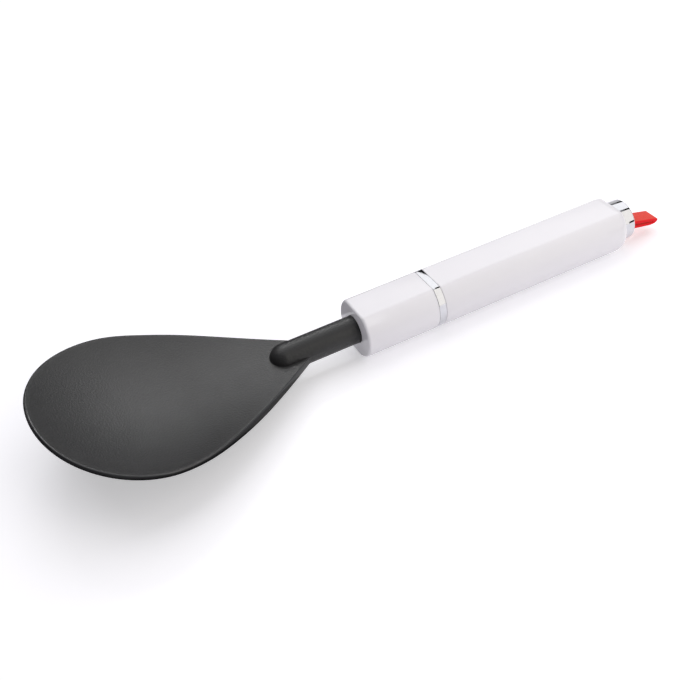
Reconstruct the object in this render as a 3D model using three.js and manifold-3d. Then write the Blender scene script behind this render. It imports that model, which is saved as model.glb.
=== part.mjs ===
// Serving spatula: dished nylon head, white handle with a chrome band, chrome end cap, ribbon loop.
// Millimetres. +X runs from the blade's tip to the loop, Y is sideways, +Z is up.
// Stations along X are counted from the collar's front face, heights from the handle's axis.
import * as THREE from "three";
import { mergeVertices } from "three/addons/utils/BufferGeometryUtils.js";
import Module from "manifold-3d";

const wasm = await Module();
wasm.setup();

// Handle section: round belly, flat top with rounded edges, narrow flat to rest on.
const HANDLE_RADIUS = 13.5;
const FLAT_DROP = 2.2;
const FLAT_EDGE_ROUND = 2.0;
const REST_FLAT_HALF = 4.0;

// Lengths of the stacked handle pieces.
const COLLAR_LENGTH = 36.0;
const BAND_LENGTH = 3.6;
const GRIP_LENGTH = 103.4;
const COLLAR_EDGE_ROUND = 1.2;
const TAIL_ROUND_IN = 1.8;
const TAIL_ROUND_ALONG = 4.0;

// Gaps: between stacked faces, around a sliding fit, around a screw thread.
const SEAM = 0.1;
const FIT = 0.2;
const THREAD_GAP = 0.1;

// Grip insides: wall over the bore at the flat, front wall, spigot that carries band and collar.
const GRIP_WALL = 3.3;
const FRONT_WALL = 6.2;
const SPIGOT_STEP = 3.2;
const SPIGOT_EDGE_ROUND = 0.8;
const SPIGOT_REACH = 8.0;

// Neck and tang of the head.
const NECK_RADIUS = 6.4;
const NECK_DEPTH = 14.0;
const NOSE_X = -34.5;
const TANG_RADIUS = 5.0;
const TANG_FLAT = 3.8;
const TANG_EDGE_ROUND = 0.5;
const TANG_SHORT = 1.5;

// Blade outline: heel inside the neck, widest station, tip, and the reach of each curve's handles.
const HEEL_X = -23.0;
const HEEL_HALF = 4.8;
const HEEL_SLOPE = 0.66;
const HEEL_RUN = 28.6;
const WIDEST_X = -99.7;
const BLADE_HALF = 43.9;
const REAR_REACH = 20.1;
const FRONT_REACH = 18.5;
const TIP_X = -138.7;
const TIP_REACH = 27.9;

// Blade side view: level heel, upward sweep, dish across, and a thickness that runs out to the tip.
const BLADE_TOP = 0.9;
const SWEEP_X = -77.0;
const SWEEP_RADIUS = 97.0;
const DISH_RADIUS = 140.0;
const HEEL_THICKNESS = 3.6;
const THICK_X = -49.0;
const THIN_X = -96.0;
const BLADE_THICKNESS = 1.9;

// Clamp screw and washer.
const SHANK_RADIUS = 2.0;
const SHANK_LENGTH = 24.0;
const SCREW_HEAD_RADIUS = 4.0;
const SCREW_HEAD_HEIGHT = 3.0;
const RECESS_WIDTH = 1.2;
const RECESS_LENGTH = 4.6;
const RECESS_DEPTH = 1.6;
const WASHER_THICKNESS = 1.0;
const WASHER_SIDE_GAP = 1.0;
const WASHER_HOLE_GAP = 0.3;
const PILOT_SPARE = 1.0;

// End cap and loop pin.
const CAP_LIP = 2.1;
const CAP_LENGTH = 6.9;
const CAP_EDGE_ROUND = 0.5;
const PLUG_LENGTH = 12.3;
const PIN_INSET = 1.6;
const PIN_RADIUS = 1.1;
const PIN_GAP = 0.2;
const PIN_END_GAP = 0.5;
const POCKET_SIDE_GAP = 0.4;
const POCKET_FLOOR_GAP = 0.6;

// Hanging loop: strap around the pin that hangs down onto the pocket's lower lip. Its upper layer lies
// flat from inside the cap's mouth on, and the fold is tight above and swept up below.
const RIBBON_WIDTH = 8.4;
const RIBBON_THICKNESS = 1.6;
const LAYER_GAP = 0.4;
const JOIN_INSET = 1.8;
const LOOP_REACH = 30.4;
const FOLD_ROUND = 1.0;
const FOLD_SWEEP = 6.0;
const DROOP = THREE.MathUtils.degToRad(14);
const LIP_GAP = 0.3;

// Fineness of curves, overrun of a cut, welding distance.
const ROUND_SEGMENTS = 48;
const SMALL_SEGMENTS = 24;
const BELLY_STEPS = 22;
const EDGE_STEPS = 4;
const BLADE_RINGS = 12;
const STRAP_STEPS = 8;
const OUTLINE_STEPS = 22;
const OVERRUN = 1.0;
const WELD = 1e-4;

// Stations and sizes that follow from the values above.
const bandFront = COLLAR_LENGTH + SEAM;
const bandRear = bandFront + BAND_LENGTH;
const gripFront = bandRear + SEAM;
const gripRear = gripFront + GRIP_LENGTH;
const boreFront = gripFront + FRONT_WALL;
const spigotFront = COLLAR_LENGTH - SPIGOT_REACH;
const tangRear = boreFront - TANG_SHORT;
const washerFront = boreFront + SEAM;
const washerRear = washerFront + WASHER_THICKNESS;
const headFront = washerRear + SEAM;
const shankFront = headFront - SHANK_LENGTH;
const capFront = gripRear + SEAM;
const capRear = capFront + CAP_LENGTH;
const pinX = capFront - PIN_INSET;
const flatHeight = HANDLE_RADIUS - FLAT_DROP;
const boreRadius = flatHeight - GRIP_WALL;
const plugRadius = boreRadius - FIT;
const capRadius = boreRadius + CAP_LIP;
const eyeInner = PIN_RADIUS + PIN_GAP;
const eyeOuter = eyeInner + RIBBON_THICKNESS;
const gapHalf = LAYER_GAP / 2;
const strapHalf = RIBBON_THICKNESS + gapHalf;
const mouthReach = capRear - pinX;
const joinReach = mouthReach - JOIN_INSET;
const slotReach = LOOP_REACH - FOLD_SWEEP / 2;

const X = new THREE.Vector3(1, 0, 0);
const Y = new THREE.Vector3(0, 1, 0);
const Z = new THREE.Vector3(0, 0, 1);
const minusY = new THREE.Vector3(0, -1, 0);

// A closed solid from a geometry, with its vertices welded and empty triangles left out.
function solidOf(geometry) {
  geometry.deleteAttribute("normal");
  geometry.deleteAttribute("uv");
  const welded = mergeVertices(geometry, WELD);
  const corners = welded.index.array;
  const triangles = [];
  for (let i = 0; i < corners.length; i += 3) {
    const [a, b, c] = [corners[i], corners[i + 1], corners[i + 2]];
    if (a !== b && b !== c && c !== a) {
      triangles.push(a, b, c);
    }
  }
  return new wasm.Manifold(new wasm.Mesh({
    numProp: 3,
    vertProperties: new Float32Array(welded.attributes.position.array),
    triVerts: new Uint32Array(triangles),
  }));
}

// A named mesh with its own material.
function meshOf(name, solid, color, roughness, metalness) {
  const data = solid.getMesh();
  const geometry = new THREE.BufferGeometry();
  geometry.setAttribute("position", new THREE.BufferAttribute(data.vertProperties, 3));
  geometry.setIndex(new THREE.BufferAttribute(data.triVerts, 1));
  geometry.computeVertexNormals();
  const material = new THREE.MeshStandardMaterial({ color, roughness, metalness });
  const mesh = new THREE.Mesh(geometry, material);
  mesh.name = name;
  return mesh;
}

function block(x0, x1, sizeY, sizeZ) {
  const geometry = new THREE.BoxGeometry(x1 - x0, sizeY, sizeZ);
  geometry.translate((x0 + x1) / 2, 0, 0);
  return solidOf(geometry);
}

// A solid of revolution about the X axis, from points (radius, station).
function turned(points, segments) {
  const geometry = new THREE.LatheGeometry(points, segments);
  geometry.rotateZ(-Math.PI / 2);
  return solidOf(geometry);
}

function rod(radius, x0, x1, segments) {
  const geometry = new THREE.CylinderGeometry(radius, radius, x1 - x0, segments);
  geometry.rotateZ(-Math.PI / 2);
  geometry.translate((x0 + x1) / 2, 0, 0);
  return solidOf(geometry);
}

// A rod along Y through the pin's station.
function crossRod(radius, length) {
  const geometry = new THREE.CylinderGeometry(radius, radius, length, SMALL_SEGMENTS);
  geometry.translate(pinX, 0, 0);
  return solidOf(geometry);
}

function arcPoints(y, z, radius, from, to, steps) {
  return new THREE.EllipseCurve(y, z, radius, radius, from, to, false).getPoints(steps);
}

// A circle cut by a flat top with rounded edges, and by a flat below where restHalf is given.
function flatTopped(radius, flat, edge, restHalf) {
  const edgeZ = flat - edge;
  const edgeY = Math.sqrt((radius - edge) ** 2 - edgeZ ** 2);
  const turn = Math.atan2(edgeZ, edgeY);
  const rest = Math.asin(restHalf / radius);
  const points = [
    ...arcPoints(0, 0, radius, rest - Math.PI / 2, turn, BELLY_STEPS),
    ...arcPoints(edgeY, edgeZ, edge, turn, Math.PI / 2, EDGE_STEPS),
    ...arcPoints(-edgeY, edgeZ, edge, Math.PI / 2, Math.PI - turn, EDGE_STEPS),
    ...arcPoints(0, 0, radius, Math.PI - turn, 1.5 * Math.PI - rest, BELLY_STEPS),
  ];
  const isOwnPoint = (point, i) => point.distanceTo(points[(i + 1) % points.length]) > WELD;
  return new THREE.Shape(points.filter(isOwnPoint));
}

function handleSection() {
  return flatTopped(HANDLE_RADIUS, flatHeight, FLAT_EDGE_ROUND, REST_FLAT_HALF);
}

function spigotSection(gap) {
  const step = SPIGOT_STEP - gap;
  return flatTopped(HANDLE_RADIUS - step, flatHeight - step, SPIGOT_EDGE_ROUND, 0);
}

function tangSection(gap) {
  return flatTopped(TANG_RADIUS + gap, TANG_FLAT + gap, TANG_EDGE_ROUND, 0);
}

// A prism along X from a section whose axes are Y and Z.
function prism(section, x0, x1) {
  const geometry = new THREE.ExtrudeGeometry(section, { depth: x1 - x0, bevelEnabled: false });
  geometry.applyMatrix4(new THREE.Matrix4().makeBasis(Y, Z, X));
  geometry.translate(x0, 0, 0);
  return solidOf(geometry);
}

// The same with one end's edge rounded: the front end where side is -1, the rear end where it is 1.
function roundedPrism(section, x0, x1, side, inward, along) {
  const spare = 2 * along;
  const start = side < 0 ? x0 : x0 - spare;
  const end = side < 0 ? x1 + spare : x1;
  const geometry = new THREE.ExtrudeGeometry(section, {
    depth: end - start - 2 * along,
    bevelEnabled: true,
    bevelThickness: along,
    bevelSize: inward,
    bevelOffset: -inward,
    bevelSegments: EDGE_STEPS,
  });
  geometry.applyMatrix4(new THREE.Matrix4().makeBasis(Y, Z, X));
  geometry.translate(start + along, 0, 0);
  const span = 4 * HANDLE_RADIUS;
  const trim = side < 0 ? block(x0 - spare, x1, span, span) : block(x0, x1 + spare, span, span);
  return solidOf(geometry).intersect(trim);
}

// Blade outline in plan: one curve from the neck to the widest station, one on to the tip, mirrored.
function bladeOutline() {
  const heelHandleX = HEEL_X - HEEL_RUN;
  const heelHandleY = HEEL_HALF + HEEL_RUN * HEEL_SLOPE;
  const rearHandleX = WIDEST_X + REAR_REACH;
  const frontHandleX = WIDEST_X - FRONT_REACH;
  const shape = new THREE.Shape();
  shape.moveTo(HEEL_X, HEEL_HALF);
  shape.bezierCurveTo(heelHandleX, heelHandleY, rearHandleX, BLADE_HALF, WIDEST_X, BLADE_HALF);
  shape.bezierCurveTo(frontHandleX, BLADE_HALF, TIP_X, TIP_REACH, TIP_X, 0);
  shape.bezierCurveTo(TIP_X, -TIP_REACH, frontHandleX, -BLADE_HALF, WIDEST_X, -BLADE_HALF);
  shape.bezierCurveTo(rearHandleX, -BLADE_HALF, heelHandleX, -heelHandleY, HEEL_X, -HEEL_HALF);
  return shape;
}

// The blade's thickness at a station.
function bladeThickness(x) {
  const share = THREE.MathUtils.smoothstep(x, THIN_X, THICK_X);
  return THREE.MathUtils.lerp(BLADE_THICKNESS, HEEL_THICKNESS, share);
}

// A point of the blade: on its upper face at (x, y) in plan, then down into the blade, square to that face.
function onBlade(x, y, depth) {
  const run = Math.max(SWEEP_X - x, 0);
  const sweepHeight = Math.sqrt(SWEEP_RADIUS ** 2 - run ** 2);
  const dishRadius = DISH_RADIUS - SWEEP_RADIUS + sweepHeight;
  const dishHeight = Math.sqrt(dishRadius ** 2 - y ** 2);
  const normal = new THREE.Vector3(dishRadius * run / sweepHeight, -y, dishHeight).normalize();
  return new THREE.Vector3(x, y, BLADE_TOP + DISH_RADIUS - dishHeight).addScaledVector(normal, -depth);
}

// Blade: a turned disc of rings, under and over, drawn out to the outline and laid on the dish.
function blade() {
  const outline = bladeOutline().getPoints(OUTLINE_STEPS);
  const shares = Array.from({ length: BLADE_RINGS + 1 }, (_, ring) => ring / BLADE_RINGS);
  const under = shares.map((share) => new THREE.Vector2(share, 0));
  const over = shares.map((share) => new THREE.Vector2(share, 1)).reverse();
  const profile = [...under, ...over];
  const disc = new THREE.LatheGeometry(profile, outline.length);
  const places = disc.attributes.position;
  for (let i = 0; i < places.count; i += 1) {
    const edge = outline[Math.floor(i / profile.length) % outline.length];
    const ring = profile[i % profile.length];
    const x = THREE.MathUtils.lerp(WIDEST_X, edge.x, ring.x);
    const place = onBlade(x, edge.y * ring.x, ring.y > 0 ? 0 : bladeThickness(x));
    places.setXYZ(i, place.x, place.y, place.z);
  }
  return solidOf(disc);
}

function nylonHead() {
  const neckEnd = NECK_DEPTH - SEAM;
  const profile = new THREE.Path();
  profile.absarc(0, NOSE_X, NECK_RADIUS, -Math.PI / 2, 0, false);
  profile.lineTo(NECK_RADIUS, neckEnd);
  profile.lineTo(0, neckEnd);
  const neck = turned(profile.getPoints(EDGE_STEPS), ROUND_SEGMENTS);
  const tang = prism(tangSection(0), neckEnd - OVERRUN, tangRear);
  const pilot = rod(SHANK_RADIUS + THREAD_GAP, shankFront - PILOT_SPARE, tangRear + OVERRUN, SMALL_SEGMENTS);
  const solid = neck.add(blade()).add(tang).subtract(pilot);
  return meshOf("nylon_head", solid, 0x2b2b2d, 0.5, 0);
}

function frontCollar() {
  const body = roundedPrism(handleSection(), 0, COLLAR_LENGTH, -1, COLLAR_EDGE_ROUND, COLLAR_EDGE_ROUND);
  const neckBore = rod(NECK_RADIUS + FIT, -OVERRUN, NECK_DEPTH, ROUND_SEGMENTS);
  const tangBore = prism(tangSection(FIT), NECK_DEPTH - OVERRUN, COLLAR_LENGTH);
  const socket = prism(spigotSection(FIT), spigotFront - SEAM, COLLAR_LENGTH + OVERRUN);
  const solid = body.subtract(neckBore).subtract(tangBore).subtract(socket);
  return meshOf("front_collar", solid, 0xf2f0f0, 0.2, 0);
}

function chromeBand() {
  const hole = prism(spigotSection(FIT), bandFront - OVERRUN, bandRear + OVERRUN);
  const solid = prism(handleSection(), bandFront, bandRear).subtract(hole);
  return meshOf("chrome_band", solid, 0xd8d8dc, 0.08, 1);
}

function grip() {
  const body = roundedPrism(handleSection(), gripFront, gripRear, 1, TAIL_ROUND_IN, TAIL_ROUND_ALONG);
  const spigot = prism(spigotSection(0), spigotFront, gripFront + OVERRUN);
  const tangBore = prism(tangSection(FIT), spigotFront - OVERRUN, boreFront + OVERRUN);
  const bore = rod(boreRadius, boreFront, gripRear + OVERRUN, ROUND_SEGMENTS);
  const solid = body.add(spigot).subtract(tangBore).subtract(bore);
  return meshOf("grip", solid, 0xf2f0f0, 0.2, 0);
}

function clampScrew() {
  const headRear = headFront + SCREW_HEAD_HEIGHT;
  const head = rod(SCREW_HEAD_RADIUS, headFront, headRear, ROUND_SEGMENTS);
  const shank = rod(SHANK_RADIUS, shankFront, headFront + OVERRUN, SMALL_SEGMENTS);
  const slotFront = headRear - RECESS_DEPTH;
  const upright = block(slotFront, headRear + OVERRUN, RECESS_WIDTH, RECESS_LENGTH);
  const level = block(slotFront, headRear + OVERRUN, RECESS_LENGTH, RECESS_WIDTH);
  const solid = head.add(shank).subtract(upright.add(level));
  return meshOf("clamp_screw", solid, 0xa8a8ac, 0.35, 1);
}

function clampWasher() {
  const disc = rod(boreRadius - WASHER_SIDE_GAP, washerFront, washerRear, ROUND_SEGMENTS);
  const holeRadius = SHANK_RADIUS + WASHER_HOLE_GAP;
  const hole = rod(holeRadius, washerFront - OVERRUN, washerRear + OVERRUN, SMALL_SEGMENTS);
  return meshOf("clamp_washer", disc.subtract(hole), 0xa8a8ac, 0.35, 1);
}

// Half height of the pocket: the drooping strap's lower face at the mouth, plus a small gap.
function pocketHalfHeight() {
  const lowerHalf = eyeOuter + (strapHalf - eyeOuter) * (mouthReach / (LOOP_REACH - FOLD_SWEEP));
  return mouthReach * Math.tan(DROOP) + lowerHalf / Math.cos(DROOP) + LIP_GAP;
}

function endCap() {
  const profile = new THREE.Path();
  profile.moveTo(0, capFront - PLUG_LENGTH);
  profile.lineTo(plugRadius, capFront - PLUG_LENGTH);
  profile.lineTo(plugRadius, capFront);
  profile.lineTo(capRadius, capFront);
  profile.lineTo(capRadius, capRear - CAP_EDGE_ROUND);
  profile.absarc(capRadius - CAP_EDGE_ROUND, capRear - CAP_EDGE_ROUND, CAP_EDGE_ROUND, 0, Math.PI / 2, false);
  profile.lineTo(0, capRear);
  const body = turned(profile.getPoints(EDGE_STEPS), ROUND_SEGMENTS);
  const floor = pinX - eyeOuter - POCKET_FLOOR_GAP;
  const width = RIBBON_WIDTH + 2 * POCKET_SIDE_GAP;
  const pocket = block(floor, capRear + OVERRUN, width, 2 * pocketHalfHeight());
  const pinHole = crossRod(PIN_RADIUS + THREAD_GAP, 2 * capRadius);
  const solid = body.subtract(pocket).subtract(pinHole);
  return meshOf("end_cap", solid, 0xd8d8dc, 0.08, 1);
}

function loopPin() {
  const solid = crossRod(PIN_RADIUS, 2 * (boreRadius - PIN_END_GAP));
  return meshOf("loop_pin", solid, 0xa8a8ac, 0.35, 1);
}

// Angle on the pin's circle where a line from the given point touches it.
function touchAngle(radius, reach, height) {
  return Math.atan2(height, reach) + Math.acos(radius / Math.hypot(reach, height));
}

// Side view of the strap's outside or inside: around the fold, along, around the pin and back.
function strapOutline(path, pinRadius, half, end, foldRound, foldSweep) {
  const foldZ = half - foldRound;
  const upper = touchAngle(pinRadius, joinReach, half);
  const lower = 2 * Math.PI - touchAngle(pinRadius, end - foldSweep, half);
  path.absellipse(end - foldSweep, foldZ, foldSweep, half + foldZ, -Math.PI / 2, 0, false);
  path.absarc(end - foldRound, foldZ, foldRound, 0, Math.PI / 2, false);
  path.lineTo(joinReach, half);
  path.absarc(0, 0, pinRadius, upper, lower, false);
  return path;
}

// The strap lies in its own turned group, whose origin is the pin.
function hangingLoop() {
  const shape = strapOutline(new THREE.Shape(), eyeOuter, strapHalf, LOOP_REACH, FOLD_ROUND, FOLD_SWEEP);
  shape.holes.push(strapOutline(new THREE.Path(), eyeInner, gapHalf, slotReach, gapHalf, gapHalf));
  const options = { depth: RIBBON_WIDTH, bevelEnabled: false, curveSegments: STRAP_STEPS };
  const geometry = new THREE.ExtrudeGeometry(shape, options);
  geometry.applyMatrix4(new THREE.Matrix4().makeBasis(X, Z, minusY));
  geometry.translate(0, RIBBON_WIDTH / 2, 0);
  const swing = new THREE.Group();
  swing.position.set(pinX, 0, 0);
  swing.rotation.y = DROOP;
  swing.add(meshOf("hanging_loop", solidOf(geometry), 0xd8362f, 0.8, 0));
  return swing;
}

const spatula = new THREE.Group();
spatula.name = "serving_spatula";
spatula.add(nylonHead(), frontCollar(), chromeBand(), grip(), clampScrew(), clampWasher());
spatula.add(endCap(), loopPin(), hangingLoop());

// The frame's origin is the middle of the bounding box's bottom.
const box = new THREE.Box3().setFromObject(spatula, true);
spatula.position.set(-(box.min.x + box.max.x) / 2, -(box.min.y + box.max.y) / 2, -box.min.z);

export default spatula;
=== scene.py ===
import math

import bmesh
import bpy
from mathutils import Matrix, Vector
from mathutils.geometry import interpolate_bezier


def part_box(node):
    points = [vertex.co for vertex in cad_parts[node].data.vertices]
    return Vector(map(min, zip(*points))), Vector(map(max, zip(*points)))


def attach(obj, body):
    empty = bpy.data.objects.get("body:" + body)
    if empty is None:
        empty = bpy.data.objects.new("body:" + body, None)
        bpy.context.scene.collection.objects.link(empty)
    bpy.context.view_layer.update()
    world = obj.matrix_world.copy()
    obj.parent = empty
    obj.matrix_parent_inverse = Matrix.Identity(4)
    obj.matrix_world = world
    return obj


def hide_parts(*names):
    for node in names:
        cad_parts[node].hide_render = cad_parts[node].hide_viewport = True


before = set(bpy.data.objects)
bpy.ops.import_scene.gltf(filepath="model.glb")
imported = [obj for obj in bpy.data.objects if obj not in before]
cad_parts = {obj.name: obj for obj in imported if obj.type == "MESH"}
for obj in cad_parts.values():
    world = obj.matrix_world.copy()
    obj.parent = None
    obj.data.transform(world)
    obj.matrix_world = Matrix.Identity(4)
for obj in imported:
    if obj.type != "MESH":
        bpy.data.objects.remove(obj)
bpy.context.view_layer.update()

# Serving spatula. Sizes are millimetres in the handle's own coordinates:
# x from the collar's front face towards the loop, y sideways, z up from the handle's axis.
MM = 0.001

# Handle: round belly, flat top with rounded edges, narrow flat below.
HANDLE_RADIUS = 13.5
FLAT_HEIGHT = 11.3
FLAT_EDGE_ROUND = 2.0
REST_FLAT_HALF = 4.0

# Gaps between stacked faces and round a sliding fit.
SEAM = 0.1
FIT = 0.2

# Stacked handle pieces: lengths, the stations that follow, and rounded ends.
COLLAR_LENGTH = 36.0
BAND_LENGTH = 3.6
GRIP_LENGTH = 103.4
BAND_FRONT = COLLAR_LENGTH + SEAM
BAND_REAR = BAND_FRONT + BAND_LENGTH
GRIP_FRONT = BAND_REAR + SEAM
GRIP_REAR = GRIP_FRONT + GRIP_LENGTH
COLLAR_ROUND = 1.2
SEAM_ROUND = 0.15
TAIL_ROUND_ALONG = 4.0
TAIL_ROUND_IN = 1.8

# Inside the handle: the grip's spigot and its socket, and the depth of each bore.
SPIGOT_REACH = 8.0
SPIGOT_FRONT = COLLAR_LENGTH - SPIGOT_REACH
SPIGOT_INSET = 3.2
SOCKET_INSET = SPIGOT_INSET - FIT
NECK_DEPTH = 14.0
FRONT_WALL = 6.2
BORE_FRONT = GRIP_FRONT + FRONT_WALL
GRIP_BORE = 8.0
CUT_OVERRUN = 1.0

# Neck and tang of the head, and the bores that take them.
NECK_RADIUS = 6.4
NOSE_X = -34.5
NECK_REAR = NECK_DEPTH - SEAM
NECK_BORE = NECK_RADIUS + FIT
TANG_RADIUS = 5.0
TANG_SHORT = 1.5
TANG_REAR = BORE_FRONT - TANG_SHORT
TANG_BORE = TANG_RADIUS + FIT

# Blade outline in plan: two curves a side, given by their ends and handles.
HEEL_X = -23.0
HEEL_HALF = 4.8
HEEL_SLOPE = 0.66
HEEL_RUN = 28.6
WIDEST_X = -99.7
BLADE_HALF = 43.9
REAR_REACH = 20.1
FRONT_REACH = 18.5
TIP_X = -138.7
TIP_REACH = 27.9
# The point that the blade's rings draw in to.
BLADE_MIDDLE = -88.0

# Blade in side view: level heel, upward sweep, dish across, thickness that runs out to the tip.
BLADE_TOP = 0.9
SWEEP_X = -77.0
SWEEP_RADIUS = 97.0
DISH_RADIUS = 140.0
HEEL_THICKNESS = 3.6
THICK_X = -49.0
THIN_X = -96.0
BLADE_THICKNESS = 1.9
RIM_ROUND = 0.5
# Faces turned further than this from the blade's sheet belong to its rim.
RIM_TURN = math.radians(20.0)

# End cap: its round head, and the plug that fills the grip's bore.
CAP_LENGTH = 6.9
CAP_LIP = 2.1
CAP_ROUND = 0.5
CAP_BACK_ROUND = 0.2
PLUG_LENGTH = 12.3
CAP_FRONT = GRIP_REAR + SEAM
CAP_REAR = CAP_FRONT + CAP_LENGTH
CAP_RADIUS = GRIP_BORE + CAP_LIP
PLUG_FRONT = CAP_FRONT - PLUG_LENGTH
PLUG_RADIUS = GRIP_BORE - FIT

# Ribbon loop: a strap led round the pin, its two layers close together, folded at the end.
PIN_INSET = 1.6
PIN_X = CAP_FRONT - PIN_INSET
RIBBON_WIDTH = 8.4
RIBBON_THICKNESS = 1.6
RIBBON_ROUND = 0.35
EYE_INNER = 1.3
EYE_OUTER = EYE_INNER + RIBBON_THICKNESS
GAP_HALF = 0.2
STRAP_HALF = GAP_HALF + RIBBON_THICKNESS
JOIN_INSET = 1.8
JOIN_REACH = CAP_REAR - PIN_X - JOIN_INSET
LOOP_REACH = 30.4
FOLD_ROUND = 1.0
FOLD_SWEEP = 6.0
SLOT_REACH = LOOP_REACH - FOLD_SWEEP / 2
DROOP = math.radians(14.0)
# Handles of a curve that follows a quarter of an ellipse, as a share of its half axes.
QUARTER_HANDLE = 0.5523

# Ribbon's weave: rib spacing, and where the deeper red edge, without the face's painted sheen, begins and
# is full, in from the edge.
RIB_PITCH = 0.8
EDGE_RED_START = 0.5
EDGE_RED_FULL = 0.2

# Pocket in the end cap that the loop swings in.
POCKET_SIDE_GAP = 0.4
POCKET_FLOOR_GAP = 0.6
POCKET_FLOOR = PIN_X - EYE_OUTER - POCKET_FLOOR_GAP
POCKET_HALF_WIDTH = RIBBON_WIDTH / 2 + POCKET_SIDE_GAP
POCKET_HALF_HEIGHT = 5.01
POCKET_ROUND = 0.4

# Fineness of curves, welding distance, and the angles of a square corner and a sharp edge.
BELLY_STEPS = 56
EDGE_STEPS = 8
ROUND_STEPS = 8
NOSE_STEPS = 24
TURNS = 96
REAR_STEPS = 48
FRONT_STEPS = 40
BLADE_RINGS = 26
FOLD_STEPS = 14
EYE_STEPS = 24
BEVEL_STEPS = 4
RIBBON_BEVEL_STEPS = 3
WELD = 0.002
CORNER_ANGLE = math.radians(60.0)
SHARP_ANGLE = math.radians(38.0)

# Camera: where it stands round the point it looks at, and its focal length in image widths.
CAMERA_AZIMUTH = math.radians(-24.535)
CAMERA_ELEVATION = math.radians(41.721)
CAMERA_ROLL = math.radians(-5.693)
CAMERA_DISTANCE = 392.68
CAMERA_TARGET = Vector((-7.547, 0.0, -2.846))
FOCAL_SHARE = 1.31281
SENSOR_WIDTH = 36.0

# Studio: a pale floor, soft boxes over the back and in front, and dark flags beside them.
# Boxes and flags stand round the handle, between two angles in degrees from overhead towards
# the front, and reach between two places along x.
FLOOR_SIZE = 6000.0
FLOOR_COLOUR = "#ecebf1"
FLOOR_GLOW = 0.37
WORLD_COLOUR = "#f4f3f6"
WORLD_STRENGTH = 0.28
WHITE = "#ffffff"
WARM_WHITE = "#fffbf2"
BOX_DISTANCE = 700.0
FLAG_DISTANCE = 600.0
HANDLE_SPAN = (-450.0, 950.0)
BAND_SPAN = (290.0, 430.0)
CAP_SPAN = (600.0, 950.0)
STRIP_ANGLES = (-48.2, -42.0)
STRIP_SPAN = (-120.0, 220.0)
LOW_ANGLES = (-90.0, -64.0)
# Each soft box: name, angles, reach, radiance, colour, and whether it lights surfaces directly,
# shows in reflections, does both, or shows only in what the head reflects.
SOFT_BOXES = (
    ("back_box", (-49.5, 3.0), HANDLE_SPAN, 1.25, WHITE, "both"),
    ("front_box", (13.0, 90.0), (100.0, 950.0), 1.15, WARM_WHITE, "both"),
    ("fill_box", (40.0, 90.0), HANDLE_SPAN, 0.28, WHITE, "direct"),
    ("head_strip", STRIP_ANGLES, STRIP_SPAN, 8.4, WHITE, "head"),
    ("strip_fill", STRIP_ANGLES, STRIP_SPAN, 8.4, WHITE, "direct"),
    ("tip_box", (-59.0, -51.5), (185.0, 250.0), 21.0, WHITE, "head"),
    ("neck_box", (30.0, 60.0), (130.0, 245.0), 1.4, WHITE, "mirrored"),
    ("tip_low_box", LOW_ANGLES, (240.0, 342.0), 0.8, WHITE, "mirrored"),
    ("cap_low_box", LOW_ANGLES, CAP_SPAN, 0.5, WHITE, "mirrored"),
)
# Each black flag round the handle: name, angles and reach.
FLAGS = (
    ("head_flag", (-85.0, -62.0), (-450.0, 240.0)),
    ("band_flag", (-78.0, -49.2), BAND_SPAN),
    ("band_gap", (-26.0, 10.0), BAND_SPAN),
    ("cap_flag", (-62.0, -52.0), CAP_SPAN),
    ("cap_gap", (3.0, 13.0), CAP_SPAN),
    ("cap_end", (80.0, 90.0), CAP_SPAN),
)
# Flags that lie on the floor, as x and y ranges: black under the head and behind the handle,
# pale grey under the heel.
HEAD_CARD = (-900.0, -45.0), (-1500.0, 300.0)
BACK_CARD = (-45.0, 62.0), (25.0, 700.0)
HEEL_CARD = (-45.0, -22.0), (-300.0, 25.0)
CARD_LIFT = 0.5
# A last black one stands at the far left.
LEFT_CARD_X = -700.0
LEFT_CARD_Y = (-700.0, 700.0)
LEFT_CARD_HEIGHT = 260.0

collar_low, collar_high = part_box("front_collar")
HANDLE_START = (collar_low[0], 0.0, collar_high[2] - FLAT_HEIGHT * MM)
ON_HANDLE = Matrix.Translation(HANDLE_START) @ Matrix.Scale(MM, 4)
scene = bpy.context.scene


def make_camera():
    """The picture's camera, turned a little about its own axis."""
    back = Vector((
        math.sin(CAMERA_AZIMUTH) * math.cos(CAMERA_ELEVATION),
        -math.cos(CAMERA_AZIMUTH) * math.cos(CAMERA_ELEVATION),
        math.sin(CAMERA_ELEVATION),
    ))
    level = Vector((math.cos(CAMERA_AZIMUTH), math.sin(CAMERA_AZIMUTH), 0.0))
    upright = back.cross(level)
    right = level * math.cos(CAMERA_ROLL) + upright * math.sin(CAMERA_ROLL)
    up = upright * math.cos(CAMERA_ROLL) - level * math.sin(CAMERA_ROLL)
    turn = Matrix((right, up, back)).transposed().to_4x4()
    lens = bpy.data.cameras.new("camera")
    lens.sensor_width = SENSOR_WIDTH
    lens.lens = FOCAL_SHARE * SENSOR_WIDTH
    camera = bpy.data.objects.new("camera", lens)
    camera.matrix_world = Matrix.Translation(ON_HANDLE @ (CAMERA_TARGET + back * CAMERA_DISTANCE)) @ turn
    scene.collection.objects.link(camera)
    scene.camera = camera


def linear(hex_colour):
    """An sRGB hex colour as linear red, green, blue and full alpha."""
    channels = [int(hex_colour[i:i + 2], 16) / 255.0 for i in (1, 3, 5)]
    return [c / 12.92 if c <= 0.04045 else ((c + 0.055) / 1.055) ** 2.4 for c in channels] + [1.0]


def add_node(tree, kind, values=(), links=(), **settings):
    """A shader node with its settings, input values and incoming links."""
    made = tree.nodes.new(kind)
    for name, value in settings.items():
        setattr(made, name, value)
    for socket, value in values:
        made.inputs[socket].default_value = value
    for socket, source in links:
        tree.links.new(source, made.inputs[socket])
    return made


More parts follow.
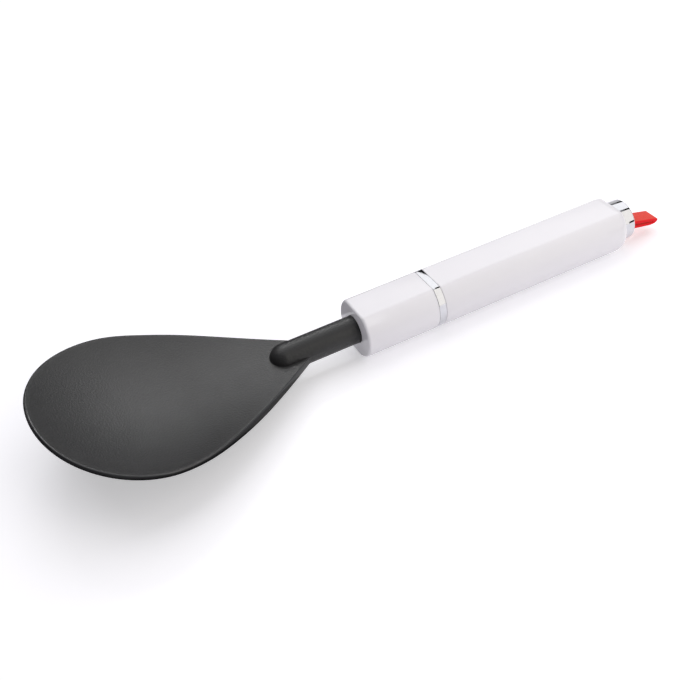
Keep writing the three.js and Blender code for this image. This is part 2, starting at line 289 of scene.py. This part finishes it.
def new_material(name):
    """An empty material, with its node tree, output and object coordinates in metres."""
    material = bpy.data.materials.new(name)
    material.use_nodes = True
    tree = material.node_tree
    tree.nodes.clear()
    output = add_node(tree, "ShaderNodeOutputMaterial")
    place = add_node(tree, "ShaderNodeTexCoord").outputs["Object"]
    return material, tree, output, place


def per_mm(size):
    """The texture scale, in cycles per metre, whose features are size millimetres apart."""
    return 1.0 / (size * MM)


def black_nylon():
    """Moulded black nylon: deep neutral black, with the soft satin sheen of a spark-eroded mould."""
    material, tree, output, place = new_material("moulded_black_nylon")
    cloud = add_node(tree, "ShaderNodeTexNoise", [("Scale", per_mm(9.0)), ("Detail", 3.0)],
                     [("Vector", place)])
    tint = add_node(tree, "ShaderNodeMix", [(6, linear("#1b1b1c")), (7, linear("#232324"))],
                    [(0, cloud.outputs["Fac"])], data_type="RGBA")
    # The mould's grain is about 0.1 mm; it is drawn at 0.8 mm so that it shows.
    grain = add_node(tree, "ShaderNodeTexNoise", [("Scale", per_mm(0.8)), ("Detail", 2.0)],
                     [("Vector", place)])
    rough = add_node(tree, "ShaderNodeMapRange", [("To Min", 0.32), ("To Max", 0.56)],
                     [("Value", grain.outputs["Fac"])])
    bump = add_node(tree, "ShaderNodeBump", [("Strength", 0.8), ("Distance", 0.15 * MM)],
                    [("Height", grain.outputs["Fac"])])
    shader = add_node(tree, "ShaderNodeBsdfPrincipled", [("IOR", 1.49)],
                      [("Base Color", tint.outputs[2]), ("Roughness", rough.outputs["Result"]),
                       ("Normal", bump.outputs["Normal"])])
    tree.links.new(shader.outputs["BSDF"], output.inputs["Surface"])
    return material


def smooth_nylon():
    """Nylon of the blade's rim: smoother than the grained faces and painted blacker as shade, with a paler
    painted highlight along its upper edge.
    """
    material, tree, output, place = new_material("smooth_black_nylon")
    cloud = add_node(tree, "ShaderNodeTexNoise", [("Scale", per_mm(4.0)), ("Detail", 3.0)],
                     [("Vector", place)])
    # A darker black than the faces' nylon: painted shade on the rim's sides.
    tint = add_node(tree, "ShaderNodeMix", [(6, linear("#121213")), (7, linear("#19191a"))],
                    [(0, cloud.outputs["Fac"])], data_type="RGBA")
    rough = add_node(tree, "ShaderNodeMapRange", [("To Min", 0.16), ("To Max", 0.26)],
                     [("Value", cloud.outputs["Fac"])])
    # The rim's upward-facing upper edge is painted a paler grey: a painted highlight standing in for the
    # light that this rounded edge catches.
    shape = add_node(tree, "ShaderNodeNewGeometry")
    edge = add_node(tree, "ShaderNodeMapRange", [("From Min", 0.515), ("From Max", 0.53)],
                    [("Value", shape.outputs["Pointiness"])])
    facing = add_node(tree, "ShaderNodeSeparateXYZ", [],
                      [("Vector", add_node(tree, "ShaderNodeTexCoord").outputs["Normal"])])
    upper = add_node(tree, "ShaderNodeMapRange", [("From Min", 0.1), ("From Max", 0.5)],
                     [("Value", facing.outputs["Z"])])
    painted_highlight = add_node(tree, "ShaderNodeMath", [],
                     [(0, edge.outputs["Result"]), (1, upper.outputs["Result"])], operation="MULTIPLY")
    rim_tint_and_highlight = add_node(tree, "ShaderNodeMix", [(7, linear("#3c3c3e"))],
                    [(0, painted_highlight.outputs["Value"]), (6, tint.outputs[2])], data_type="RGBA")
    shader = add_node(tree, "ShaderNodeBsdfPrincipled", [("IOR", 1.49)],
                      [("Base Color", rim_tint_and_highlight.outputs[2]), ("Roughness", rough.outputs["Result"])])
    tree.links.new(shader.outputs["BSDF"], output.inputs["Surface"])
    return material


def white_abs():
    """Polished white ABS: clear gloss over opaque white, with faint handling marks in the gloss."""
    material, tree, output, place = new_material("polished_white_abs")
    cloud = add_node(tree, "ShaderNodeTexNoise", [("Scale", per_mm(22.0)), ("Detail", 3.0)],
                     [("Vector", place)])
    tint = add_node(tree, "ShaderNodeMix", [(6, linear("#efedf3")), (7, linear("#f4f2f7"))],
                    [(0, cloud.outputs["Fac"])], data_type="RGBA")
    marks = add_node(tree, "ShaderNodeTexNoise", [("Scale", per_mm(3.0)), ("Detail", 4.0)],
                     [("Vector", place)])
    rough = add_node(tree, "ShaderNodeMapRange", [("To Min", 0.10), ("To Max", 0.17)],
                     [("Value", marks.outputs["Fac"])])
    shader = add_node(tree, "ShaderNodeBsdfPrincipled", [("IOR", 1.53)],
                      [("Base Color", tint.outputs[2]), ("Roughness", rough.outputs["Result"])])
    tree.links.new(shader.outputs["BSDF"], output.inputs["Surface"])
    return material


def chrome_plate():
    """Bright chrome plate: a cool mirror, barely broken by polishing haze."""
    material, tree, output, place = new_material("bright_chrome_plate")
    haze = add_node(tree, "ShaderNodeTexNoise", [("Scale", per_mm(1.5)), ("Detail", 3.0)],
                    [("Vector", place)])
    rough = add_node(tree, "ShaderNodeMapRange", [("To Min", 0.03), ("To Max", 0.07)],
                     [("Value", haze.outputs["Fac"])])
    tint = add_node(tree, "ShaderNodeMix", [(6, linear("#c6c7cb")), (7, linear("#cfcfd3"))],
                    [(0, haze.outputs["Fac"])], data_type="RGBA")
    shader = add_node(tree, "ShaderNodeBsdfPrincipled", [("Metallic", 1.0)],
                      [("Base Color", tint.outputs[2]), ("Roughness", rough.outputs["Result"])])
    tree.links.new(shader.outputs["BSDF"], output.inputs["Surface"])
    return material


def zinc_steel():
    """Zinc-plated steel: grey metal with the dull, slightly blotched finish of barrel plating."""
    material, tree, output, place = new_material("zinc_plated_steel")
    blotch = add_node(tree, "ShaderNodeTexNoise", [("Scale", per_mm(1.2)), ("Detail", 4.0)],
                      [("Vector", place)])
    rough = add_node(tree, "ShaderNodeMapRange", [("To Min", 0.26), ("To Max", 0.42)],
                     [("Value", blotch.outputs["Fac"])])
    tint = add_node(tree, "ShaderNodeMix", [(6, linear("#9c9ea1")), (7, linear("#b4b5b6"))],
                    [(0, blotch.outputs["Fac"])], data_type="RGBA")
    shader = add_node(tree, "ShaderNodeBsdfPrincipled", [("Metallic", 1.0)],
                      [("Base Color", tint.outputs[2]), ("Roughness", rough.outputs["Result"])])
    tree.links.new(shader.outputs["BSDF"], output.inputs["Surface"])
    return material


def red_ribbon():
    """Woven grosgrain ribbon: soft red ribs across its width, painted paler as sheen, between deeper red
    edges.
    """
    material, tree, output, place = new_material("woven_red_grosgrain")
    laid = add_node(tree, "ShaderNodeMapping", [("Rotation", (0.0, -DROOP, 0.0))], [("Vector", place)])
    # A wave's bands repeat every pi / 10 of its scaled coordinate.
    ribs = add_node(tree, "ShaderNodeTexWave",
                    [("Scale", per_mm(RIB_PITCH) * math.pi / 10.0), ("Distortion", 0.6), ("Detail", 1.0)],
                    [("Vector", laid.outputs["Vector"])], bands_direction="X")
    # The ribs' two reds follow the weave, and are painted paler than the ribbon's own red as a painted
    # sheen.
    ribs_and_painted_sheen = add_node(tree, "ShaderNodeMix", [(6, linear("#d83a31")), (7, linear("#f55c50"))],
                    [(0, ribs.outputs["Fac"])], data_type="RGBA")
    side = add_node(tree, "ShaderNodeSeparateXYZ", [], [("Vector", place)])
    off_middle = add_node(tree, "ShaderNodeMath", [], [(0, side.outputs["Y"])], operation="ABSOLUTE")
    # Near its edges and on its sides the ribbon is painted a deeper red, its colour where no painted sheen
    # is laid.
    deep_red_edge = add_node(tree, "ShaderNodeMapRange",
                        [("From Min", (RIBBON_WIDTH / 2 - EDGE_RED_START) * MM),
                         ("From Max", (RIBBON_WIDTH / 2 - EDGE_RED_FULL) * MM)],
                        [("Value", off_middle.outputs["Value"])])
    tint = add_node(tree, "ShaderNodeMix", [(7, linear("#ee1c26"))],
                    [(0, deep_red_edge.outputs["Result"]), (6, ribs_and_painted_sheen.outputs[2])], data_type="RGBA")
    bump = add_node(tree, "ShaderNodeBump", [("Strength", 0.6), ("Distance", 0.12 * MM)],
                    [("Height", ribs.outputs["Fac"])])
    shader = add_node(tree, "ShaderNodeBsdfPrincipled",
                      [("Roughness", 0.8), ("Specular IOR Level", 0.2),
                       ("Sheen Weight", 0.08), ("Sheen Roughness", 0.4)],
                      [("Base Color", tint.outputs[2]), ("Normal", bump.outputs["Normal"])])
    tree.links.new(shader.outputs["BSDF"], output.inputs["Surface"])
    return material


def line_on(bm, end, point):
    """Carries a wire on from its end vertex to a point, and returns the new end."""
    grown = bmesh.ops.extrude_vert_indiv(bm, verts=[end])
    grown["verts"][0].co = point
    return grown["verts"][0]


def arc_on(bm, end, centre, axis, angle, steps):
    """Carries a wire on from its end vertex round an arc, and returns the new end."""
    grown = bmesh.ops.spin(bm, geom=[end], cent=centre, axis=axis, angle=angle, steps=steps,
                           use_duplicate=False)
    return next(part for part in grown["geom_last"] if isinstance(part, bmesh.types.BMVert))


def spin_closed(bm):
    """Turns the wire in bm once round the handle's axis into a closed body."""
    wire = bm.verts[:] + bm.edges[:]
    bmesh.ops.spin(bm, geom=wire, cent=(0, 0, 0), axis=(1, 0, 0), angle=math.tau, steps=TURNS,
                   use_merge=True)
    bmesh.ops.remove_doubles(bm, verts=bm.verts, dist=WELD)
    bmesh.ops.recalc_face_normals(bm, faces=bm.faces)


def turned(points):
    """A closed body turned about the handle's axis, from (station, radius) corners."""
    bm = bmesh.new()
    end = bm.verts.new((points[0][0], 0.0, points[0][1]))
    for station, radius in points[1:]:
        end = line_on(bm, end, (station, 0.0, radius))
    spin_closed(bm)
    return bm


def mesh_of(bm, name):
    """Hands the body in bm over as a mesh."""
    mesh = bpy.data.meshes.new(name)
    bm.to_mesh(mesh)
    bm.free()
    return mesh


def combined(base, tool, operation):
    """The union or difference of two closed bodies, as a new body."""
    base_piece = bpy.data.objects.new("base", mesh_of(base, "base"))
    tool_piece = bpy.data.objects.new("tool", mesh_of(tool, "tool"))
    for piece in (base_piece, tool_piece):
        scene.collection.objects.link(piece)
    modifier = base_piece.modifiers.new("combine", "BOOLEAN")
    modifier.object = tool_piece
    modifier.operation = operation
    modifier.solver = "EXACT"
    shown = base_piece.evaluated_get(bpy.context.evaluated_depsgraph_get())
    bm = bmesh.new()
    bm.from_mesh(shown.to_mesh())
    shown.to_mesh_clear()
    for piece in (base_piece, tool_piece):
        bpy.data.objects.remove(piece)
    return bm


def new_piece(bm, node, body, material):
    """Puts a finished body in place on the handle, in the stead of a CAD node."""
    bmesh.ops.transform(bm, matrix=ON_HANDLE, verts=bm.verts)
    mesh = mesh_of(bm, node + "_visual")
    mesh.shade_smooth()
    mesh.set_sharp_from_angle(angle=SHARP_ANGLE)
    mesh.materials.append(material)
    piece = bpy.data.objects.new(node + "_visual", mesh)
    scene.collection.objects.link(piece)
    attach(piece, body)
    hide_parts(node)
    return piece


def handle_section(bm):
    """The handle's section at station 0, as one face: half its outline, mirrored and filled."""
    edge_z = FLAT_HEIGHT - FLAT_EDGE_ROUND
    edge_y = math.sqrt((HANDLE_RADIUS - FLAT_EDGE_ROUND) ** 2 - edge_z ** 2)
    turn = math.atan2(edge_z, edge_y)
    rest = math.asin(REST_FLAT_HALF / HANDLE_RADIUS)
    bottom = bm.verts.new((0.0, REST_FLAT_HALF, -HANDLE_RADIUS * math.cos(rest)))
    side = arc_on(bm, bottom, (0, 0, 0), (1, 0, 0), math.pi / 2 + turn - rest, BELLY_STEPS)
    top = arc_on(bm, side, (0, edge_y, edge_z), (1, 0, 0), math.pi / 2 - turn, EDGE_STEPS)
    line_on(bm, bottom, (0.0, 0.0, bottom.co.z))
    line_on(bm, top, (0.0, 0.0, top.co.z))
    bmesh.ops.mirror(bm, geom=bm.verts[:] + bm.edges[:], axis="Y", merge_dist=WELD)
    bmesh.ops.remove_doubles(bm, verts=bm.verts, dist=WELD)
    return bmesh.ops.contextual_create(bm, geom=bm.edges[:])["faces"][0]


def handle_length(stations):
    """The handle's section carried through (station, inset) pairs, as one closed body."""
    bm = bmesh.new()
    face = handle_section(bm)
    station, size = 0.0, 1.0
    for index, (next_station, inset) in enumerate(stations):
        next_size = 1.0 - inset / HANDLE_RADIUS
        if index > 0:
            grown = bmesh.ops.extrude_face_region(bm, geom=[face])["geom"]
            if index > 1:
                bmesh.ops.delete(bm, geom=[face], context="FACES_ONLY")
            face = next(part for part in grown if isinstance(part, bmesh.types.BMFace))
        change = next_size / size
        bmesh.ops.translate(bm, verts=face.verts, vec=(next_station - station, 0.0, 0.0))
        bmesh.ops.scale(bm, verts=face.verts, vec=(1.0, change, change))
        station, size = next_station, next_size
    bmesh.ops.recalc_face_normals(bm, faces=bm.faces)
    return bm


def rounded_end(station, inward, along, inset):
    """Stations of a rounded end, from the end face in to the full section."""
    turns = [math.pi / 2 * step / ROUND_STEPS for step in range(ROUND_STEPS + 1)]
    return [(station + inward * along * (1 - math.cos(turn)), inset * (1 - math.sin(turn)))
            for turn in turns]


def socket():
    """The hollow in collar and band that the grip's spigot fills."""
    return handle_length([(SPIGOT_FRONT - SEAM, SOCKET_INSET), (BAND_REAR + CUT_OVERRUN, SOCKET_INSET)])


def make_collar(material):
    """Front collar: rounded front edge, stepped bore for neck and tang, socket behind."""
    front = rounded_end(0.0, 1, COLLAR_ROUND, COLLAR_ROUND)
    outside = front + rounded_end(COLLAR_LENGTH, -1, SEAM_ROUND, SEAM_ROUND)[::-1]
    bore = turned([(-CUT_OVERRUN, 0.0), (-CUT_OVERRUN, NECK_BORE),
                   (NECK_DEPTH, NECK_BORE), (NECK_DEPTH, TANG_BORE),
                   (SPIGOT_FRONT + CUT_OVERRUN, TANG_BORE), (SPIGOT_FRONT + CUT_OVERRUN, 0.0)])
    body = combined(combined(handle_length(outside), bore, "DIFFERENCE"), socket(), "DIFFERENCE")
    return new_piece(body, "front_collar", "spatula", material)


def make_band(material):
    """Chrome band: a flush ring with its edges just broken."""
    front = rounded_end(BAND_FRONT, 1, SEAM_ROUND, SEAM_ROUND)
    outside = front + rounded_end(BAND_REAR, -1, SEAM_ROUND, SEAM_ROUND)[::-1]
    body = combined(handle_length(outside), socket(), "DIFFERENCE")
    return new_piece(body, "chrome_band", "spatula", material)


def make_grip(material):
    """Grip: spigot in front, rounded tail, bored for the tang, the screw and the end cap's plug."""
    spigot = [(SPIGOT_FRONT, SPIGOT_INSET), (GRIP_FRONT, SPIGOT_INSET)]
    front = rounded_end(GRIP_FRONT, 1, SEAM_ROUND, SEAM_ROUND)
    outside = front + rounded_end(GRIP_REAR, -1, TAIL_ROUND_ALONG, TAIL_ROUND_IN)[::-1]
    bore = turned([(SPIGOT_FRONT - CUT_OVERRUN, 0.0), (SPIGOT_FRONT - CUT_OVERRUN, TANG_BORE),
                   (BORE_FRONT, TANG_BORE), (BORE_FRONT, GRIP_BORE),
                   (GRIP_REAR + CUT_OVERRUN, GRIP_BORE), (GRIP_REAR + CUT_OVERRUN, 0.0)])
    body = combined(handle_length(spigot + outside), bore, "DIFFERENCE")
    return new_piece(body, "grip", "spatula", material)


def make_cap(material):
    """Chrome end cap: round head with a softened rim, plug, and the pocket that the loop swings in."""
    bm = bmesh.new()
    end = bm.verts.new((PLUG_FRONT, 0.0, 0.0))
    for station, radius in ((PLUG_FRONT, PLUG_RADIUS), (CAP_FRONT, PLUG_RADIUS),
                            (CAP_FRONT, CAP_RADIUS - CAP_BACK_ROUND)):
        end = line_on(bm, end, (station, 0.0, radius))
    back_centre = (CAP_FRONT + CAP_BACK_ROUND, 0.0, CAP_RADIUS - CAP_BACK_ROUND)
    end = arc_on(bm, end, back_centre, (0, 1, 0), math.pi / 2, EDGE_STEPS)
    end = line_on(bm, end, (CAP_REAR - CAP_ROUND, 0.0, CAP_RADIUS))
    rim_centre = (CAP_REAR - CAP_ROUND, 0.0, CAP_RADIUS - CAP_ROUND)
    end = arc_on(bm, end, rim_centre, (0, 1, 0), math.pi / 2, EDGE_STEPS)
    line_on(bm, end, (CAP_REAR, 0.0, 0.0))
    spin_closed(bm)
    pocket = bmesh.new()
    bmesh.ops.create_cube(pocket, size=1.0)
    length = CAP_REAR + CUT_OVERRUN - POCKET_FLOOR
    bmesh.ops.scale(pocket, verts=pocket.verts, vec=(length, 2 * POCKET_HALF_WIDTH, 2 * POCKET_HALF_HEIGHT))
    bmesh.ops.translate(pocket, verts=pocket.verts, vec=(POCKET_FLOOR + length / 2, 0.0, 0.0))
    long_edges = [edge for edge in pocket.edges if abs(edge.verts[0].co.x - edge.verts[1].co.x) > WELD]
    bmesh.ops.bevel(pocket, geom=long_edges, offset=POCKET_ROUND, segments=BEVEL_STEPS, profile=0.5,
                    affect="EDGES", material=-1)
    body = combined(bm, pocket, "DIFFERENCE")
    return new_piece(body, "end_cap", "spatula", material)


def blade_ring():
    """The blade's outline in plan, once round from the heel by the tip."""
    heel_handle = (HEEL_X - HEEL_RUN, HEEL_HALF + HEEL_RUN * HEEL_SLOPE)
    widest = (WIDEST_X, BLADE_HALF)
    rear = interpolate_bezier((HEEL_X, HEEL_HALF), heel_handle, (WIDEST_X + REAR_REACH, BLADE_HALF),
                              widest, REAR_STEPS + 1)
    front = interpolate_bezier(widest, (WIDEST_X - FRONT_REACH, BLADE_HALF), (TIP_X, TIP_REACH),
                               (TIP_X, 0.0), FRONT_STEPS + 1)
    half = rear[:-1] + front
    return [(p[0], p[1]) for p in half] + [(p[0], -p[1]) for p in half[-2::-1]]


def blade_thickness(x):
    """Thickness of the blade, thinning smoothly from heel to tip."""
    share = min(max((THICK_X - x) / (THICK_X - THIN_X), 0.0), 1.0)
    return HEEL_THICKNESS + (BLADE_THICKNESS - HEEL_THICKNESS) * share * share * (3.0 - 2.0 * share)


def dish(x, y):
    """Height of the blade's upper face at (x, y) in plan, and its normal there."""
    run = max(SWEEP_X - x, 0.0)
    sweep_height = math.sqrt(SWEEP_RADIUS ** 2 - run ** 2)
    dish_radius = DISH_RADIUS - SWEEP_RADIUS + sweep_height
    dish_height = math.sqrt(dish_radius ** 2 - y ** 2)
    normal = Vector((dish_radius * run / sweep_height, -y, dish_height)).normalized()
    return BLADE_TOP + DISH_RADIUS - dish_height, normal


def on_blade(x, y, depth):
    """A point of the blade: on its upper face at (x, y) in plan, then down into it, square to that face."""
    height, normal = dish(x, y)
    return Vector((x, y, height)) - normal * depth


def on_rim(face):
    """Whether a face of the head is turned away from the blade's sheet, clear of the neck."""
    middle = face.calc_center_median()
    clear = middle.x < NOSE_X - NECK_RADIUS or math.hypot(middle.y, middle.z) > NECK_RADIUS
    return clear and abs(face.normal.dot(dish(middle.x, middle.y)[1])) < math.cos(RIM_TURN)


def make_blade():
    """The dished blade: rings drawn in from its outline, doubled, laid on the dish, rim rounded."""
    bm = bmesh.new()
    outline = [bm.verts.new((x, y, 0.0)) for x, y in blade_ring()]
    edges = [bm.edges.new((a, b)) for a, b in zip(outline, outline[1:] + outline[:1])]
    middle = Matrix.Translation((-BLADE_MIDDLE, 0.0, 0.0))
    for ring in range(BLADE_RINGS - 1, 0, -1):
        grown = bmesh.ops.extrude_edge_only(bm, edges=edges)["geom"]
        edges = [part for part in grown if isinstance(part, bmesh.types.BMEdge)]
        verts = [part for part in grown if isinstance(part, bmesh.types.BMVert)]
        change = ring / (ring + 1.0)
        bmesh.ops.scale(bm, verts=verts, vec=(change, change, 1.0), space=middle)
    grown = bmesh.ops.extrude_edge_only(bm, edges=edges)["geom"]
    verts = [part for part in grown if isinstance(part, bmesh.types.BMVert)]
    bmesh.ops.pointmerge(bm, verts=verts, merge_co=(BLADE_MIDDLE, 0.0, 0.0))
    grown = bmesh.ops.extrude_face_region(bm, geom=bm.faces[:])["geom"]
    under = {part for part in grown if isinstance(part, bmesh.types.BMVert)}
    for vert in bm.verts:
        x, y = vert.co.xy
        vert.co = on_blade(x, y, blade_thickness(x) if vert in under else 0.0)
    bmesh.ops.recalc_face_normals(bm, faces=bm.faces)
    rim = [edge for edge in bm.edges if edge.calc_face_angle(0.0) > CORNER_ANGLE]
    bmesh.ops.bevel(bm, geom=rim, offset=RIM_ROUND, segments=BEVEL_STEPS, profile=0.5,
                    affect="EDGES", material=-1)
    return bm


def make_head(material, rim_material):
    """Nylon head: blade and round-nosed neck moulded in one, with the tang behind and a smooth rim."""
    neck = bmesh.new()
    end = neck.verts.new((NOSE_X - NECK_RADIUS, 0.0, 0.0))
    end = arc_on(neck, end, (NOSE_X, 0, 0), (0, 1, 0), math.pi / 2, NOSE_STEPS)
    for station, radius in ((NECK_REAR, NECK_RADIUS), (NECK_REAR, TANG_RADIUS), (TANG_REAR, TANG_RADIUS),
                            (TANG_REAR, 0.0)):
        end = line_on(neck, end, (station, 0.0, radius))
    spin_closed(neck)
    body = combined(make_blade(), neck, "UNION")
    body.normal_update()
    for face in body.faces:
        face.material_index = 1 if on_rim(face) else 0
    head = new_piece(body, "nylon_head", "spatula", material)
    head.data.materials.append(rim_material)
    return head


def quarter(start, corner, end):
    """Points of a quarter of an ellipse that leaves start and meets end square, inside their corner."""
    leave = [p + (c - p) * QUARTER_HANDLE for p, c in zip(start, corner)]
    meet = [p + (c - p) * QUARTER_HANDLE for p, c in zip(end, corner)]
    return [(p[0], p[1]) for p in interpolate_bezier(start, leave, meet, end, FOLD_STEPS)]


def touch_angle(radius, reach, height):
    """Angle on the pin's circle where a line from the given point touches it."""
    return math.atan2(height, reach) + math.acos(radius / math.hypot(reach, height))


def strap_side(bm, pin_radius, half, end, fold_round, fold_sweep):
    """Side view of the strap's outside or inside, as vertices: round the fold, along, round the pin."""
    fold_z = half - fold_round
    upper = touch_angle(pin_radius, JOIN_REACH, half)
    lower = math.tau - touch_angle(pin_radius, end - fold_sweep, half)
    turns = [upper + (lower - upper) * step / EYE_STEPS for step in range(EYE_STEPS + 1)]
    points = quarter((end - fold_sweep, -half), (end, -half), (end, fold_z))[:-1]
    points += quarter((end, fold_z), (end, half), (end - fold_round, half))
    points.append((JOIN_REACH, half))
    points += [(pin_radius * math.cos(turn), pin_radius * math.sin(turn)) for turn in turns]
    return [bm.verts.new((x, -RIBBON_WIDTH / 2, z)) for x, z in points]


def make_loop(material):
    """Ribbon loop: the strap's side view carried across its width, with softened edges."""
    bm = bmesh.new()
    outside = strap_side(bm, EYE_OUTER, STRAP_HALF, LOOP_REACH, FOLD_ROUND, FOLD_SWEEP)
    inside = strap_side(bm, EYE_INNER, GAP_HALF, SLOT_REACH, GAP_HALF, GAP_HALF)
    pairs = list(zip(outside, inside))
    for (near_out, near_in), (next_out, next_in) in zip(pairs, pairs[1:] + pairs[:1]):
        bm.faces.new((near_out, next_out, next_in, near_in))
    grown = bmesh.ops.extrude_face_region(bm, geom=bm.faces[:])["geom"]
    across = [part for part in grown if isinstance(part, bmesh.types.BMVert)]
    bmesh.ops.translate(bm, verts=across, vec=(0.0, RIBBON_WIDTH, 0.0))
    bmesh.ops.recalc_face_normals(bm, faces=bm.faces)
    rims = [edge for edge in bm.edges if abs(edge.verts[0].co.y - edge.verts[1].co.y) < WELD
            and edge.calc_face_angle(0.0) > CORNER_ANGLE]
    bmesh.ops.bevel(bm, geom=rims, offset=RIBBON_ROUND, segments=RIBBON_BEVEL_STEPS, profile=0.5,
                    affect="EDGES", material=-1)
    hang = Matrix.Translation((PIN_X, 0.0, 0.0)) @ Matrix.Rotation(DROOP, 4, "Y")
    bmesh.ops.transform(bm, matrix=hang, verts=bm.verts)
    return new_piece(bm, "hanging_loop", "loop", material)


def flag_cloth(name, dark, pale):
    """Cloth of a studio flag: dull, with a faint weave."""
    material, tree, output, place = new_material(name)
    weave = add_node(tree, "ShaderNodeTexNoise", [("Scale", per_mm(2.0))], [("Vector", place)])
    tint = add_node(tree, "ShaderNodeMix", [(6, linear(dark)), (7, linear(pale))],
                    [(0, weave.outputs["Fac"])], data_type="RGBA")
    shader = add_node(tree, "ShaderNodeBsdfDiffuse", [], [("Color", tint.outputs[2])])
    tree.links.new(shader.outputs["BSDF"], output.inputs["Surface"])
    return material


def round_handle(angles, span, distance):
    """Place, length and breadth, in metres, of a flat thing that faces the handle between two angles."""
    tilt = math.radians(sum(angles) / 2)
    away = Vector((0.0, -math.sin(tilt), math.cos(tilt)))
    level = Vector((1.0, 0.0, 0.0))
    turn = Matrix((level, away.cross(level), away)).transposed().to_4x4()
    place = Matrix.Translation(ON_HANDLE @ (away * distance + level * sum(span) / 2)) @ turn
    breadth = 2 * distance * math.tan(math.radians(angles[1]) - tilt)
    return place, (span[1] - span[0]) * MM, breadth * MM


def soft_box(name, angles, span, radiance, colour, seen, head_only):
    """A soft box, which isn't seen itself, and shows in the way that its word in the list says."""
    lamp = bpy.data.lights.new(name, "AREA")
    lamp.shape = "RECTANGLE"
    place, lamp.size, lamp.size_y = round_handle(angles, span, BOX_DISTANCE)
    lamp.energy = radiance * math.pi * lamp.size * lamp.size_y
    lamp.color = linear(colour)[:3]
    holder = bpy.data.objects.new(name, lamp)
    holder.matrix_world = place
    holder.visible_camera = False
    holder.visible_diffuse = seen in ("both", "direct")
    holder.visible_glossy = seen != "direct"
    if seen == "head":
        holder.light_linking.receiver_collection = head_only
    scene.collection.objects.link(holder)


def make_lamps(head):
    """The soft boxes; those that only the head reflects get a collection with the head alone."""
    head_only = bpy.data.collections.new("head_only")
    head_only.objects.link(head)
    for box in SOFT_BOXES:
        soft_box(*box, head_only)


def flag(name, place, length, breadth, card):
    """A flat flag, which shows only in reflections."""
    bm = bmesh.new()
    bmesh.ops.create_grid(bm, x_segments=1, y_segments=1, size=0.5)
    bmesh.ops.scale(bm, verts=bm.verts, vec=(length, breadth, 1.0))
    bmesh.ops.transform(bm, matrix=place, verts=bm.verts)
    mesh = mesh_of(bm, name)
    mesh.materials.append(card)
    piece = bpy.data.objects.new(name, mesh)
    piece.visible_camera = False
    piece.visible_diffuse = False
    piece.visible_shadow = False
    scene.collection.objects.link(piece)


def make_flags():
    """Flags that darken what the head's edges and the handle's chrome reflect."""
    black = flag_cloth("black_flag_cloth", "#050505", "#0b0b0b")
    grey = flag_cloth("grey_flag_cloth", "#b4b4b5", "#bcbcbd")
    for name, angles, span in FLAGS:
        flag(name, *round_handle(angles, span, FLAG_DISTANCE), black)
    for name, (along, across), cloth in (("head_card", HEAD_CARD, black), ("back_card", BACK_CARD, black),
                                         ("heel_card", HEEL_CARD, grey)):
        middle = ON_HANDLE @ Vector((sum(along) / 2, sum(across) / 2, 0.0))
        middle.z = CARD_LIFT * MM
        length = (along[1] - along[0]) * MM
        breadth = (across[1] - across[0]) * MM
        flag(name, Matrix.Translation(middle), length, breadth, cloth)
    stand = ON_HANDLE @ Vector((LEFT_CARD_X, sum(LEFT_CARD_Y) / 2, 0.0))
    stand.z = LEFT_CARD_HEIGHT / 2 * MM
    upright = Matrix.Translation(stand) @ Matrix.Rotation(math.pi / 2, 4, "Y")
    flag("left_card", upright, LEFT_CARD_HEIGHT * MM, (LEFT_CARD_Y[1] - LEFT_CARD_Y[0]) * MM, black)


def make_floor():
    """The pale floor, white to the eye and in reflections, which keeps the object's shadow."""
    material, tree, output, place = new_material("pale_floor")
    seen = add_node(tree, "ShaderNodeLightPath")
    mirrored = add_node(tree, "ShaderNodeMath", [],
                        [(0, seen.outputs["Is Camera Ray"]), (1, seen.outputs["Is Glossy Ray"])],
                        operation="MAXIMUM")
    white = add_node(tree, "ShaderNodeMath", [],
                     [(0, mirrored.outputs["Value"]), (1, seen.outputs["Is Transmission Ray"])],
                     operation="MAXIMUM")
    plain = add_node(tree, "ShaderNodeBsdfDiffuse", [("Color", linear(FLOOR_COLOUR))])
    glow = add_node(tree, "ShaderNodeEmission", [("Color", linear(WHITE)), ("Strength", FLOOR_GLOW)])
    bright = add_node(tree, "ShaderNodeAddShader", [],
                      [(0, plain.outputs["BSDF"]), (1, glow.outputs["Emission"])])
    shader = add_node(tree, "ShaderNodeMixShader", [],
                      [(0, white.outputs["Value"]), (1, plain.outputs["BSDF"]),
                       (2, bright.outputs["Shader"])])
    tree.links.new(shader.outputs["Shader"], output.inputs["Surface"])
    bm = bmesh.new()
    bmesh.ops.create_grid(bm, x_segments=1, y_segments=1, size=FLOOR_SIZE / 2 * MM)
    mesh = mesh_of(bm, "floor")
    mesh.materials.append(material)
    floor = bpy.data.objects.new("floor", mesh)
    scene.collection.objects.link(floor)


def make_world():
    """Even pale light from all round the studio."""
    world = bpy.data.worlds.new("studio")
    world.use_nodes = True
    sky = world.node_tree.nodes["Background"]
    sky.inputs["Color"].default_value = linear(WORLD_COLOUR)
    sky.inputs["Strength"].default_value = WORLD_STRENGTH
    scene.world = world


make_camera()
white_plastic = white_abs()
chrome = chrome_plate()
steel = zinc_steel()
head_piece = make_head(black_nylon(), smooth_nylon())
make_collar(white_plastic)
make_band(chrome)
make_grip(white_plastic)
make_cap(chrome)
make_loop(red_ribbon())
for hidden in ("clamp_screw", "clamp_washer", "loop_pin"):
    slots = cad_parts[hidden].data.materials
    slots.clear()
    slots.append(steel)

make_floor()
make_world()
make_flags()
make_lamps(head_piece)
scene.view_settings.view_transform = "Standard"
